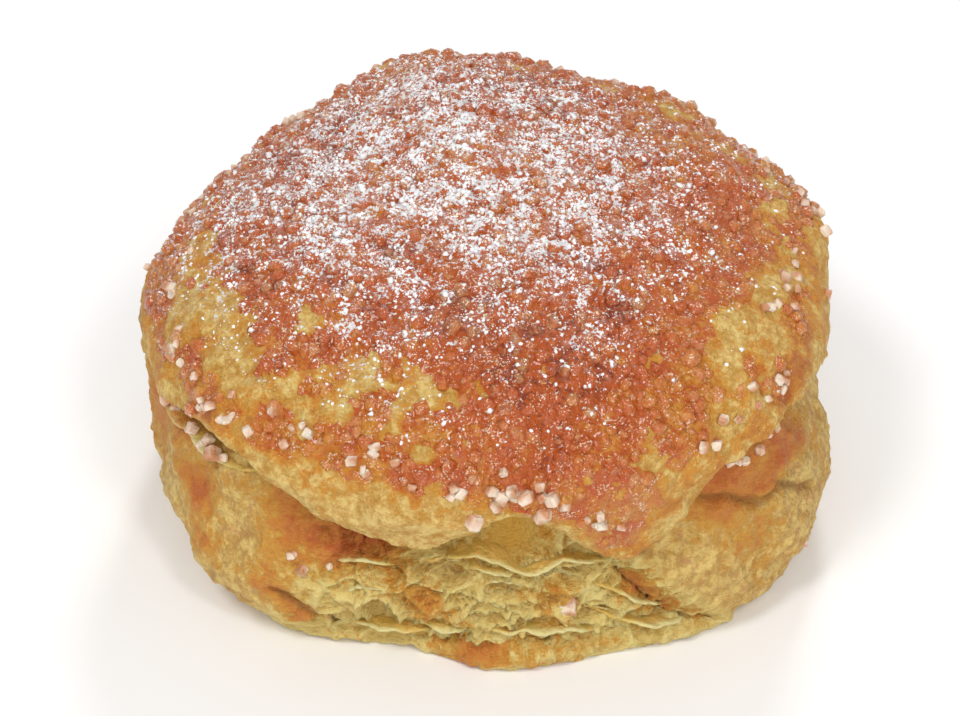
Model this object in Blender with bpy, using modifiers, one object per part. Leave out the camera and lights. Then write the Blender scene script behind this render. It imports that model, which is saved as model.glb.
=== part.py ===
"""Custard pie: a hand-sized pie of folded puff pastry, baked until its top puffs into a dome.

The whole pie is one baked piece, so it is one solid. A domed upper shell carries a crust of coarse
sugar, and its edge hangs as a lip over the lower half, whose corners were folded in before baking.
At the front the folds gape, and the edges of the pastry layers stand out as thin wavy leaves.
The largest grains of the sugar crust are fused to the shell.

Metres, +Z up. The origin is the middle of the flat underside, and the gaping side faces -Y.
Azimuths are in degrees about +Z: 0 at the front (-Y), 90 at the right (+X), 180 at the back.
Sizes below are in millimetres, and MM turns them into metres.
"""

import math
import random

import bmesh
import bpy
from mathutils import Matrix, Vector, noise

MM = 0.001

# The upper shell. Swells are (azimuth, half width in degrees, millimetres added at the middle).
DOME_HEIGHT = 54.0
DOME_FULLNESS = 2.0  # exponent of the dome's arc: 2 is an ellipse, more is fuller
SHELL_RADIUS = 49.0
SHELL_SWELLS = (
    (-88, 36, -1.2),
    (-45, 34, 0.6),
    (56, 36, 1.6),
    (96, 24, -0.6),
    (-130, 50, -5.0),
    (-172, 26, 1.6),
    (136, 24, 0.6),
)
WAIST_OF_SHELL = 31.0  # height of the shell's widest part
WAIST_SWELLS = ((0, 60, -1.5), (-90, 40, 0.5), (92, 40, 5.0))

# The lip: the lower edge of the shell.
LIP_INSET = 1.4  # how far the edge lies inside the shell's widest part
LIP_ROLL = 1.6  # how far the edge rolls back towards the crease
LIP_EDGE_RISE = 1.2  # height of the edge's outermost point above its lowest
LIP_HEIGHT = 28.5
LIP_SWELLS = (
    (-12, 42, -5.0),
    (5, 15, 3.6),
    (26, 21, -8.5),
    (58, 22, 2.6),
    (84, 30, 1.5),
    (-45, 26, 4.0),
    (-75, 30, 1.2),
)

# The crease under the lip, and the lower half of the pie.
CREASE_DEPTH = 4.5
SHOULDER_FULLNESS = 0.8  # how far the lower half bulges between its crease and its belly
CREASE_SWELLS = ((-30, 40, 1.0), (52, 30, -2.5), (0, 25, 1.5), (-88, 24, -2.0))
BELLY_RADIUS = 46.5
BELLY_HEIGHT = 10.5
BELLY_SWELLS = ((-46, 36, 2.8), (60, 42, 5.4), (97, 30, 2.0), (150, 60, 1.0))
FOOT_RADIUS = 43.0
FOOT_SWELLS = (
    (-42, 26, 2.0),
    (-15, 16, -1.6),
    (8, 20, 2.0),
    (52, 42, 6.4),
    (92, 34, 2.6),
    (135, 40, 2.0),
    (-135, 40, 1.5),
)
FOOT_HEIGHT = 3.0  # height at which the rounded foot stands upright
FLOOR_REACH = 0.93  # share of the foot's radius at which the flat underside turns up

# The gaping front, where the folds part and show the layers.
MOUTH_LEFT = -37.0
MOUTH_RIGHT_TOP = 21.0
MOUTH_RIGHT_FOOT = 48.0
MOUTH_DEPTH = 5.0  # how far the wall behind the leaves lies inside the lower half
MOUTH_EDGE_LEFT = 15.0  # degrees over which the pastry turns into the mouth
MOUTH_EDGE_RIGHT = 9.0
MOUTH_CROWN = 24.0  # height at which the mouth ends under the lip
MOUTH_FLOOR = 1.5  # heights between which the floor of the mouth curves up into its wall
MOUTH_FLOOR_TOP = 4.5

# Lumps where the sheet blistered or a fold shows through: (azimuth, height, radius, push).
LUMPS = (
    (-158, 47.0, 9.0, 1.6),
    (-178, 48.0, 9.0, 0.8),
    (-104, 38.0, 9.0, -1.6),
    (142, 39.0, 7.0, 0.8),
    (96, 42.0, 8.0, 1.0),
    (-86, 24.0, 6.0, 1.6),
    (126, 42.0, 6.0, -1.2),
    (-62, 17.0, 8.0, 1.2),
    (-78, 26.0, 5.0, 1.4),
    (-40, 8.0, 7.0, 0.8),
    (58, 6.0, 9.0, 0.8),
)
PUSH_CENTRE = 18.0  # lumps and blisters push away from this height on the axis
DOME_STEEPNESS = 1.6  # how much more steeply they push than a line from there
BLISTER = 0.9  # height of the unevenness all over
BLISTER_LENGTH = 11.0
BLISTER_START = 4.0  # height at which the unevenness has its full size

SEGMENTS = 72
RINGS = 36

# The leaves: the thin edges of the layers, that stand out of the mouth and show under the lip.
# Each has the radius it reaches to, and the (azimuth, height) points along its edge.
LEAVES = (
    (44.6, ((-16, 16.0), (-8, 18.2), (-1, 20.4), (8, 17.4), (14, 18.3), (21, 16.4), (27, 13.0), (35, 6.5))),
    (41.8, ((-13, 14.6), (-2, 17.0), (7, 15.4), (15, 15.4), (23, 12.0))),
    (43.0, ((-15, 12.4), (-3, 13.9), (3, 14.8), (12, 13.0), (20, 10.6), (30, 6.0))),
    (43.6, ((-13, 10.8), (-2, 11.4), (8, 10.2), (18, 8.6), (27, 4.6))),
    (44.6, ((-12, 8.6), (-4, 8.0), (5, 6.6), (12, 6.9), (18, 5.8), (25, 3.8), (33, 1.6))),
    (44.6, ((-35, 6.6), (-27, 10.6), (-20, 13.2), (-13, 13.2), (-8, 11.6))),
    (43.4, ((-35, 2.6), (-27, 4.2), (-19, 5.4), (-12, 5.6), (-6, 4.4))),
    (44.0, ((-34, 13.2), (-26, 16.0), (-17, 17.2), (-10, 15.6))),
    (45.8, ((17, 14.6), (25, 11.2), (33, 6.4), (41, 2.2))),
    (46.8, ((20, 8.4), (28, 6.0), (36, 3.6), (45, 1.8))),
    (47.4, ((-90, 26.8), (-78, 25.8), (-66, 26.4), (-55, 26.0), (-45, 25.6), (-36, 26.4))),
    (46.6, ((146, 26.8), (160, 25.8), (173, 26.6), (186, 25.6), (200, 26.8))),
)
LEAF_ROOT = 36.0  # radius of the leaves' inner edge, inside the pastry
LEAF_THICKNESS = 1.2
LEAF_TIP = 0.06  # share of a half turn by which a leaf's ends are blunter than a point
LEAF_WAVE = 0.8
LEAF_WAVE_LENGTH = 5.0
LEAF_WAVE_SHIFT = 9.7  # distance between two leaves in the noise that waves them
LEAF_CELLS = 10
LEAF_ROWS = 2

# The grains of coarse sugar on the shell, largest first. The crust ends at CRUST_END of the rings.
GRAINS = 125
GRAIN_LARGEST = 2.7
GRAIN_SMALLEST = 1.9
GRAIN_SHRINK = 0.0006  # how much smaller each tried grain is than the one before
GRAIN_SUNK = 0.32  # share of a grain's size that lies in the pastry
GRAIN_SPACING = 1.75  # least distance between two grains, in grain sizes
GRAIN_CHIPS = 0.15  # share of its radius by which each corner is pulled in or out
CRUST_END = 0.69
CRUST_SWELLS = ((20, 26, -0.09), (76, 34, 0.05))
SEED = 7

PASTRY_COLOUR = (0.62, 0.36, 0.13, 1.0)
PASTRY_ROUGHNESS = 0.7
SMOOTH_UNDER = 38.0  # faces meeting at less than this many degrees are shaded as one

# Stations of the profile, from the middle of the underside to the waist of the shell, as shares of the rings.
FLOOR_MIDDLE = 0.15
FOOT_TURN = 0.22
FOOT_TOP = 0.27
BELLY = 0.36
SHOULDER = 0.45
CREASE = 0.52
LIP_UNDER = 0.555
LIP_EDGE = 0.59
WAIST = 0.65


def swell(azimuth, centre, half_width):
    """A smooth hump: 1 at its centre, and 0 from half_width degrees away."""
    away = abs((azimuth - centre + 180) % 360 - 180) / half_width
    return 0.0 if away >= 1 else (1 + math.cos(math.pi * away)) / 2


def swollen(base, swells, azimuth):
    return base + sum(size * swell(azimuth, centre, width) for centre, width, size in swells)


def ease(value, low, high):
    """0 below low, 1 above high, and a smooth step between."""
    share = min(max((value - low) / (high - low), 0.0), 1.0)
    return share * share * (3 - 2 * share)


def mouth(azimuth, height):
    """How far a point of the lower half lies inside the gaping front, from 0 to 1."""
    right = MOUTH_RIGHT_FOOT + (MOUTH_RIGHT_TOP - MOUTH_RIGHT_FOOT) * height / MOUTH_CROWN
    from_left = ease(azimuth, MOUTH_LEFT, MOUTH_LEFT + MOUTH_EDGE_LEFT)
    from_right = ease(right - azimuth, 0, MOUTH_EDGE_RIGHT)
    return from_left * from_right * ease(height, MOUTH_FLOOR, MOUTH_FLOOR_TOP)


def profile_points(azimuth):
    """(share of the rings, radius, height) of the stations below the dome, at one azimuth."""
    shell = swollen(SHELL_RADIUS, SHELL_SWELLS, azimuth)
    waist = swollen(WAIST_OF_SHELL, WAIST_SWELLS, azimuth)
    lip = swollen(LIP_HEIGHT, LIP_SWELLS, azimuth)
    edge = shell - LIP_INSET
    crease = edge - swollen(CREASE_DEPTH, CREASE_SWELLS, azimuth)
    belly = swollen(BELLY_RADIUS, BELLY_SWELLS, azimuth)
    foot = swollen(FOOT_RADIUS, FOOT_SWELLS, azimuth)
    shoulder = (crease + belly) / 2 + SHOULDER_FULLNESS
    return (
        (0.0, 0.0, 0.0),
        (FLOOR_MIDDLE, FLOOR_REACH * foot * FLOOR_MIDDLE / FOOT_TURN, 0.0),
        (FOOT_TURN, FLOOR_REACH * foot, 0.0),
        (FOOT_TOP, foot, FOOT_HEIGHT),
        (BELLY, belly, BELLY_HEIGHT),
        (SHOULDER, shoulder, (BELLY_HEIGHT + lip) / 2),
        (CREASE, crease, lip),
        (LIP_UNDER, edge - LIP_ROLL, lip),
        (LIP_EDGE, edge, lip + LIP_EDGE_RISE),
        (WAIST, shell, max(waist, lip + 2 * LIP_EDGE_RISE)),
    )


def spline(before, start, end, after, share):
    """A Catmull-Rom curve between start and end."""
    return 0.5 * (
        2 * start
        + (end - before) * share
        + (2 * before - 5 * start + 4 * end - after) * share**2
        + (3 * start - before - 3 * end + after) * share**3
    )


def profile(azimuth, share):
    """(radius, height) of the pie's outline at one azimuth and one share of the rings."""
    stations = profile_points(azimuth)
    if share >= WAIST:
        _, shell, waist = stations[-1]
        turn = (share - WAIST) / (1 - WAIST) * math.pi / 2
        power = 2 / DOME_FULLNESS
        rise = max(math.sin(turn), 0.0) ** power
        return shell * max(math.cos(turn), 0.0) ** power, waist + (DOME_HEIGHT - waist) * rise
    index = max(i for i, station in enumerate(stations) if station[0] <= share)
    start, end = stations[index], stations[index + 1]
    before = stations[max(index - 1, 0)]
    after = stations[index + 2] if index + 2 < len(stations) else (1, end[1] + 0.3, 2 * end[2] - start[2])
    local = (share - start[0]) / (end[0] - start[0])
    radius, height = (spline(before[i], start[i], end[i], after[i], local) for i in (1, 2))
    return radius, max(height, 0.0)


def surface(azimuth, share):
    """The point of the pie's skin, in millimetres, at one azimuth and one share of the rings."""
    radius, height = profile(azimuth, share)
    if share < LIP_UNDER:
        radius -= MOUTH_DEPTH * mouth(azimuth, height)
    angle = math.radians(azimuth)
    point = Vector((radius * math.sin(angle), -radius * math.cos(angle), height))
    if share <= FOOT_TURN:
        return point
    out = Vector((point.x, point.y, DOME_STEEPNESS * (height - PUSH_CENTRE))).normalized()
    push = BLISTER * noise.noise(point / BLISTER_LENGTH)
    for lump_azimuth, lump_height, size, lift in LUMPS:
        beside = 2 * radius * math.sin(math.radians(azimuth - lump_azimuth) / 2)
        push += lift * math.exp(-(beside**2 + (height - lump_height) ** 2) / size**2)
    return point + out * push * ease(height, 0, BLISTER_START)


def new_object(name, mesh, collection):
    made = bpy.data.objects.new(name, mesh)
    collection.objects.link(made)
    return made


def pastry_body(collection):
    """The pie without its leaves and grains: a sphere whose rings are laid along the profile."""
    shape = bmesh.new()
    bmesh.ops.create_uvsphere(shape, u_segments=SEGMENTS, v_segments=RINGS, radius=1)
    for vertex in shape.verts:
        azimuth = math.degrees(math.atan2(vertex.co.x, -vertex.co.y))
        share = math.acos(max(-1.0, min(1.0, -vertex.co.z))) / math.pi
        vertex.co = surface(azimuth, share) * MM
    mesh = bpy.data.meshes.new("pastry")
    shape.to_mesh(mesh)
    shape.free()
    return new_object("pastry", mesh, collection)


def along(points, share):
    """The (azimuth, height) at one share of the way along a leaf's edge."""
    place = share * (len(points) - 1)
    index = min(int(place), len(points) - 2)
    picked = [points[min(max(index + step, 0), len(points) - 1)] for step in (-1, 0, 1, 2)]
    return tuple(spline(*(point[i] for point in picked), place - index) for i in (0, 1))


def leaf(number, reach, edge, collection):
    """One wavy sheet of pastry, from inside the wall of the mouth to its free edge."""
    shape = bmesh.new()
    bmesh.ops.create_grid(shape, x_segments=LEAF_CELLS, y_segments=LEAF_ROWS, size=0.5)
    for vertex in shape.verts:
        share, out = vertex.co.x + 0.5, vertex.co.y + 0.5
        azimuth, height = along(edge, share)
        taper = math.sqrt(math.sin(math.pi * (LEAF_TIP + (1 - 2 * LEAF_TIP) * share)))
        radius = LEAF_ROOT + (reach - LEAF_ROOT) * out * taper
        angle = math.radians(azimuth)
        point = Vector((radius * math.sin(angle), -radius * math.cos(angle), height))
        ripple = noise.noise_vector(point / LEAF_WAVE_LENGTH + Vector((0, 0, LEAF_WAVE_SHIFT * number)))
        point += ripple * LEAF_WAVE * out
        point.z = max(point.z, LEAF_THICKNESS)
        vertex.co = point * MM
    mesh = bpy.data.meshes.new(f"leaf_{number}")
    shape.to_mesh(mesh)
    shape.free()
    sheet = new_object(f"leaf_{number}", mesh, collection)
    thick = sheet.modifiers.new("thickness", "SOLIDIFY")
    thick.thickness = LEAF_THICKNESS * MM
    thick.offset = 0


def sugar_spots(draw):
    """Places of the grains as (point, outward direction, size), spread evenly over the crust."""
    spots = []
    size = GRAIN_LARGEST
    while len(spots) < GRAINS:
        size = max(size - GRAIN_SHRINK, GRAIN_SMALLEST)
        azimuth = draw.uniform(-180, 180)
        turn = math.acos(math.sqrt(draw.random()))
        share = WAIST + (1 - WAIST) * turn / (math.pi / 2)
        if share < swollen(CRUST_END, CRUST_SWELLS, azimuth):
            continue
        point = surface(azimuth, share)
        if any((point - other).length < GRAIN_SPACING * (size + width) / 2 for other, _, width in spots):
            continue
        side = surface(azimuth + 2, share) - point
        rise = surface(azimuth, min(share + 0.01, 1)) - surface(azimuth, share - 0.01)
        spots.append((point, side.cross(rise).normalized(), size))
    return spots


def sugar_grains(collection):
    """Chipped crystals: twelve-cornered lumps, each pulled out of shape and turned its own way."""
    draw = random.Random(SEED)
    shape = bmesh.new()
    for point, outward, size in sugar_spots(draw):
        centre = point + outward * size * (0.5 - GRAIN_SUNK)
        turned = Matrix.Rotation(draw.uniform(0, math.tau), 3, Vector([draw.gauss(0, 1) for _ in range(3)]))
        made = bmesh.ops.create_icosphere(shape, subdivisions=1, radius=0.5)
        for vertex in made["verts"]:
            chipped = vertex.co * size * draw.uniform(1 - GRAIN_CHIPS, 1 + GRAIN_CHIPS)
            vertex.co = (centre + turned @ chipped) * MM
    mesh = bpy.data.meshes.new("grains")
    shape.to_mesh(mesh)
    shape.free()
    new_object("grains", mesh, collection)


def fuse(body, pieces):
    """Join the pieces to the body as one skin, and take the pieces away."""
    joined = body.modifiers.new("fuse", "BOOLEAN")
    joined.operation = "UNION"
    joined.operand_type = "COLLECTION"
    joined.collection = pieces
    joined.solver = "EXACT"
    graph = bpy.context.evaluated_depsgraph_get()
    fused = bpy.data.meshes.new_from_object(body.evaluated_get(graph))
    body.modifiers.clear()
    body.data = fused
    for obj in list(pieces.objects):
        bpy.data.objects.remove(obj)
    bpy.data.collections.remove(pieces)


def stand_on_origin(body):
    """Move the mesh so that the middle of its box, at its underside, is the origin."""
    corners = [Vector(corner) for corner in body.bound_box]
    low = Vector(min(corner[i] for corner in corners) for i in range(3))
    high = Vector(max(corner[i] for corner in corners) for i in range(3))
    body.data.transform(Matrix.Translation((-(low.x + high.x) / 2, -(low.y + high.y) / 2, -low.z)))


def finish(body):
    """Baked pastry's material and smooth shading."""
    pastry = bpy.data.materials.new("baked_pastry")
    pastry.use_nodes = True
    skin = pastry.node_tree.nodes["Principled BSDF"]
    skin.inputs["Base Color"].default_value = PASTRY_COLOUR
    skin.inputs["Roughness"].default_value = PASTRY_ROUGHNESS
    skin.inputs["Metallic"].default_value = 0.0
    body.data.materials.clear()
    body.data.materials.append(pastry)
    body.data.polygons.foreach_set("use_smooth", [True] * len(body.data.polygons))
    body.data.set_sharp_from_angle(angle=math.radians(SMOOTH_UNDER))


def main():
    for obj in list(bpy.data.objects):
        bpy.data.objects.remove(obj)
    pie = bpy.data.collections.new("custard_pie")
    pieces = bpy.data.collections.new("pieces")
    for collection in (pie, pieces):
        bpy.context.scene.collection.children.link(collection)
    body = pastry_body(pie)
    for number, (reach, edge) in enumerate(LEAVES):
        leaf(number, reach, edge, pieces)
    sugar_grains(pieces)
    fuse(body, pieces)
    stand_on_origin(body)
    finish(body)


main()
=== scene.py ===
"""A custard pie of folded puff pastry, with a caramelised sugar crust and a dusting of icing sugar.

The pie is put together as it is seen from outside: the domed upper shell, the lower half under its
lip, the pastry leaves that gape at the front, and then the sugars. Sizes are in millimetres unless
they say otherwise. Azimuths are in degrees: 0 at the front (-Y), 90 at the right (+X).
"""

import math
import random

import bmesh
import bpy
import numpy as np
from mathutils import Matrix, Quaternion, Vector, noise
from mathutils.bvhtree import BVHTree
from mathutils.kdtree import KDTree


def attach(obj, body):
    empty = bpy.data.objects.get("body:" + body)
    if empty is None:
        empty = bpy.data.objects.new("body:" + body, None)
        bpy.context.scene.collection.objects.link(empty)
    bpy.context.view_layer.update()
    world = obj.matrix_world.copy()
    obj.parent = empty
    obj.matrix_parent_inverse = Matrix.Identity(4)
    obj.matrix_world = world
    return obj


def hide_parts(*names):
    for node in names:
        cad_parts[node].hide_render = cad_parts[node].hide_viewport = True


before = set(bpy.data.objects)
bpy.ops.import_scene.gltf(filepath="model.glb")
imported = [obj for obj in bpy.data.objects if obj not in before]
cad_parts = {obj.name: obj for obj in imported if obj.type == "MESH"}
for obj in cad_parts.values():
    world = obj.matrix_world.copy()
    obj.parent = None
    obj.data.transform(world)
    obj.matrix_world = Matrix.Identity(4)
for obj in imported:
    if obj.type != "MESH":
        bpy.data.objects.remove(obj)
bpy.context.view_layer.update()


# The upper shell: one sheet of puff pastry that rose into a dome, with its edge hanging as a lip.
# A crust of coarse sugar melted onto it in the oven, and left bare cream pastry in patches and along
# the lip. It is baked in one with the lower half, and rolls under into the crease between them.

MM = 0.001
AXIS = (-0.945, -0.266, 0.0)  # the pie's axis, measured from the middle of its box

DOME_HEIGHT = 54.0
SHELL_RADIUS = 49.0
SHELL_SWELLS = (
    (-88, 36, -1.2),
    (-45, 34, 0.6),
    (56, 36, 1.6),
    (96, 24, -0.6),
    (-130, 50, -5.0),
    (-172, 26, 1.6),
    (136, 24, 0.6),
)
WAIST_OF_SHELL = 31.0
WAIST_SWELLS = ((0, 60, -1.5), (-90, 40, 0.5), (92, 40, 5.0))
LIP_INSET = 1.4
LIP_ROLL = 1.6
LIP_EDGE_RISE = 1.2
LIP_HEIGHT = 28.5
LIP_SWELLS = (
    (-12, 42, -5.0),
    (5, 15, 3.6),
    (26, 21, -8.5),
    (58, 22, 2.6),
    (84, 30, 1.5),
    (-45, 26, 4.0),
    (-75, 30, 1.2),
)
LIP_RAGGED = ((9.0, 0.7), (3.2, 0.35))  # (length, height) of the waves along the lip's edge
CREASE_DEPTH = 4.5
CREASE_SWELLS = ((-30, 40, 1.0), (52, 30, -2.5), (0, 25, 1.5), (-88, 24, -2.0))
SHOULDER_FULLNESS = 0.8
BELLY_RADIUS = 46.5
BELLY_HEIGHT = 10.5
BELLY_SWELLS = ((-46, 36, 2.8), (60, 42, 5.4), (97, 30, 2.0), (150, 60, 1.0))
FOOT_RADIUS = 43.0
FOOT_SWELLS = (
    (-42, 26, 2.0),
    (-15, 16, -1.6),
    (8, 20, 2.0),
    (52, 42, 6.4),
    (92, 34, 2.6),
    (135, 40, 2.0),
    (-135, 40, 1.5),
)
FOOT_HEIGHT = 3.0
FLOOR_REACH = 0.93
MOUTH_LEFT = -37.0
MOUTH_RIGHT_TOP = 21.0
MOUTH_RIGHT_FOOT = 48.0
MOUTH_DEPTH = 5.0
MOUTH_EDGE_LEFT = 15.0
MOUTH_EDGE_RIGHT = 6.0
MOUTH_CROWN = 24.0
MOUTH_FLOOR = 1.5
MOUTH_FLOOR_TOP = 4.5
BULGES = (  # (azimuth, height, radius, push)
    (-158, 47.0, 9.0, 1.6),
    (-178, 48.0, 9.0, 0.8),
    (-104, 38.0, 9.0, -1.6),
    (142, 39.0, 7.0, 0.8),
    (96, 42.0, 8.0, 1.0),
    (-86, 24.0, 6.0, 1.6),
    (126, 42.0, 6.0, -1.2),
    (-62, 17.0, 8.0, 1.2),
    (-78, 26.0, 5.0, 1.4),
    (-40, 8.0, 7.0, 0.8),
    (58, 6.0, 9.0, 0.8),
)
PUSH_CENTRE = 18.0
DOME_STEEPNESS = 1.6
BLISTER = 0.9
BLISTER_LENGTH = 11.0
BLISTER_START = 4.0
PEBBLE_REACH = 0.62  # of the distance between grains
FLAKE_EDGE = 0.8  # share of a level that is flat

# Stations of the outline, from the middle of the underside to the waist, as shares of its length. The
# dome above the waist is a quarter of an ellipse.
FLOOR_MIDDLE = 0.15
FOOT_TURN = 0.22
FOOT_TOP = 0.27
BELLY = 0.36
SHOULDER = 0.45
CREASE = 0.52
LIP_UNDER = 0.555
LIP_EDGE = 0.59
WAIST = 0.65
STATIONS = np.array(
    (0.0, FLOOR_MIDDLE, FOOT_TURN, FOOT_TOP, BELLY, SHOULDER, CREASE, LIP_UNDER, LIP_EDGE, WAIST)
)


def swell(azimuth, centre, half_width):
    """A smooth hump: 1 at its centre, and 0 from half_width degrees away."""
    away = np.minimum(np.abs((azimuth - centre + 180) % 360 - 180) / half_width, 1)
    return (1 + np.cos(np.pi * away)) / 2


def swollen(base, swells, azimuth):
    return base + sum(size * swell(azimuth, centre, width) for centre, width, size in swells)


def ease(value, low, high):
    """0 below low, 1 above high, and a smooth step between."""
    share = np.clip((value - low) / (high - low), 0, 1)
    return share * share * (3 - 2 * share)


def field(points, length, shift=0.0):
    """Smooth noise at each point, from about -1 to 1, with features of the given length."""
    moved = np.asarray(points) / length + shift
    return np.array([noise.noise(point) for point in moved.tolist()])


def rough(points, waves, base=0.0):
    """A base value with noise of each (height, length, shift) added to it."""
    return sum((height * field(points, length, shift) for height, length, shift in waves), base)


def pebbles(points, length, shift=0.0):
    """Rounded grains packed side by side: 1 on a grain's middle, and 0 between grains."""
    moved = np.asarray(points) / length + shift
    return np.array([max(1 - (noise.voronoi(at)[0][0] / PEBBLE_REACH) ** 2, 0.0) for at in moved.tolist()])


def flakes(points, length, shift=0.0):
    """Broken layers: flat levels with a small step between them, 1 apart."""
    level = rough(points, ((2.5, length, shift), (0.5, length / 3, shift)))
    whole = np.floor(level)
    return whole + ease(level - whole, FLAKE_EDGE, 1.0)


def ring(azimuth, radius):
    angle = np.radians(azimuth)
    return np.stack((radius * np.sin(angle), -radius * np.cos(angle), 0 * angle), -1)


def profile(azimuth, share):
    """(radius, height) of the pie's outline at each azimuth and share of its length."""
    shell = swollen(SHELL_RADIUS, SHELL_SWELLS, azimuth)
    lip = swollen(LIP_HEIGHT, LIP_SWELLS, azimuth)
    for length, height in LIP_RAGGED:
        lip = lip + height * field(ring(azimuth, SHELL_RADIUS), length)
    waist = np.maximum(swollen(WAIST_OF_SHELL, WAIST_SWELLS, azimuth), lip + 2 * LIP_EDGE_RISE)
    edge = shell - LIP_INSET
    crease = edge - swollen(CREASE_DEPTH, CREASE_SWELLS, azimuth)
    belly = swollen(BELLY_RADIUS, BELLY_SWELLS, azimuth)
    foot = swollen(FOOT_RADIUS, FOOT_SWELLS, azimuth)
    shoulder = (crease + belly) / 2 + SHOULDER_FULLNESS
    flat = 0 * azimuth
    floor = FLOOR_REACH * foot
    inner_floor = floor * FLOOR_MIDDLE / FOOT_TURN
    radii = (flat, inner_floor, floor, foot, belly, shoulder, crease, edge - LIP_ROLL, edge, shell)
    rises = (flat + FOOT_HEIGHT, flat + BELLY_HEIGHT, (BELLY_HEIGHT + lip) / 2)
    heights = (flat, flat, flat, *rises, lip, lip, lip + LIP_EDGE_RISE, waist)
    found = np.clip(np.searchsorted(STATIONS, share, side="right") - 1, 0, len(STATIONS) - 2)
    local = (share - STATIONS[found]) / (STATIONS[found + 1] - STATIONS[found])
    column = np.arange(len(share))
    outline = []
    for values, last in ((radii, shell + 0.3), (heights, 2 * waist - heights[-2])):
        padded = np.stack((values[0], *values, last))
        before, start, end, after = (padded[found + step, column] for step in range(4))
        bend = 2 * before - 5 * start + 4 * end - after
        twist = 3 * start - before - 3 * end + after
        outline.append(0.5 * (2 * start + (end - before) * local + bend * local**2 + twist * local**3))
    turn = np.clip((share - WAIST) / (1 - WAIST), 0, 1) * np.pi / 2
    radius = np.where(share >= WAIST, shell * np.cos(turn), outline[0])
    height = np.where(share >= WAIST, waist + (DOME_HEIGHT - waist) * np.sin(turn), outline[1])
    return radius, np.maximum(height, 0)


def mouth(azimuth, height):
    """How far a point of the lower half lies inside the gaping front, from 0 to 1."""
    right = MOUTH_RIGHT_FOOT + (MOUTH_RIGHT_TOP - MOUTH_RIGHT_FOOT) * height / MOUTH_CROWN
    inside = ease(azimuth, MOUTH_LEFT, MOUTH_LEFT + MOUTH_EDGE_LEFT)
    inside = inside * ease(right - azimuth, 0, MOUTH_EDGE_RIGHT)
    return inside * ease(height, MOUTH_FLOOR, MOUTH_FLOOR_TOP)


def surface(azimuth, share):
    """Points of the pie's skin, without its fine relief."""
    radius, height = profile(azimuth, share)
    radius = radius - MOUTH_DEPTH * mouth(azimuth, height) * (share < LIP_UNDER)
    point = ring(azimuth, radius)
    point[:, 2] = height
    out = point * (1, 1, DOME_STEEPNESS) - (0, 0, DOME_STEEPNESS * PUSH_CENTRE)
    out = out / np.linalg.norm(out, axis=1, keepdims=True)
    push = BLISTER * field(point, BLISTER_LENGTH)
    for bulge_azimuth, bulge_height, size, lift in BULGES:
        beside = 2 * radius * np.sin(np.radians(azimuth - bulge_azimuth) / 2)
        push = push + lift * np.exp(-(beside**2 + (height - bulge_height) ** 2) / size**2)
    push = push * ease(height, 0, BLISTER_START) * (share > FOOT_TURN)
    return point + out * push[:, None]


def corners(shape):
    return np.array([vertex.co[:] for vertex in shape.verts])


def move(shape, points):
    for vertex, point in zip(shape.verts, points.tolist()):
        vertex.co = point


def directions(shape):
    """The outward direction at each corner of a shape."""
    shape.normal_update()
    return np.array([vertex.normal[:] for vertex in shape.verts])


def mark(shape, **marks):
    """Give each corner of a shape a named value, for its finish to read."""
    for name, values in marks.items():
        layer = shape.verts.layers.float.new(name)
        for vertex, value in zip(shape.verts, values.tolist()):
            vertex[layer] = value


def new_piece(name, shape, finish, smooth=True):
    """An object from a shape in millimetres round the pie's axis, which rides with the pie."""
    mesh = bpy.data.meshes.new(name)
    shape.to_mesh(mesh)
    shape.free()
    mesh.transform(Matrix.Translation(Vector(AXIS) * MM) @ Matrix.Scale(MM, 4))
    mesh.polygons.foreach_set("use_smooth", [smooth] * len(mesh.polygons))
    mesh.materials.append(finish.material)
    piece = bpy.data.objects.new(name, mesh)
    bpy.context.scene.collection.objects.link(piece)
    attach(piece, "root")
    return piece


class Wire:
    """A shader socket, so that sums on its value add their Math nodes."""

    def __init__(self, finish, socket):
        self.finish, self.socket = finish, socket

    def _sum(self, operation, first, second):
        return self.finish.add("ShaderNodeMath", {"operation": operation}, {0: first, 1: second})

    def __add__(self, other):
        return self._sum("ADD", self, other)

    __radd__ = __add__

    def __sub__(self, other):
        return self._sum("SUBTRACT", self, other)

    def __rsub__(self, other):
        return self._sum("SUBTRACT", other, self)

    def __mul__(self, other):
        return self._sum("MULTIPLY", self, other)

    __rmul__ = __mul__


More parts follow.
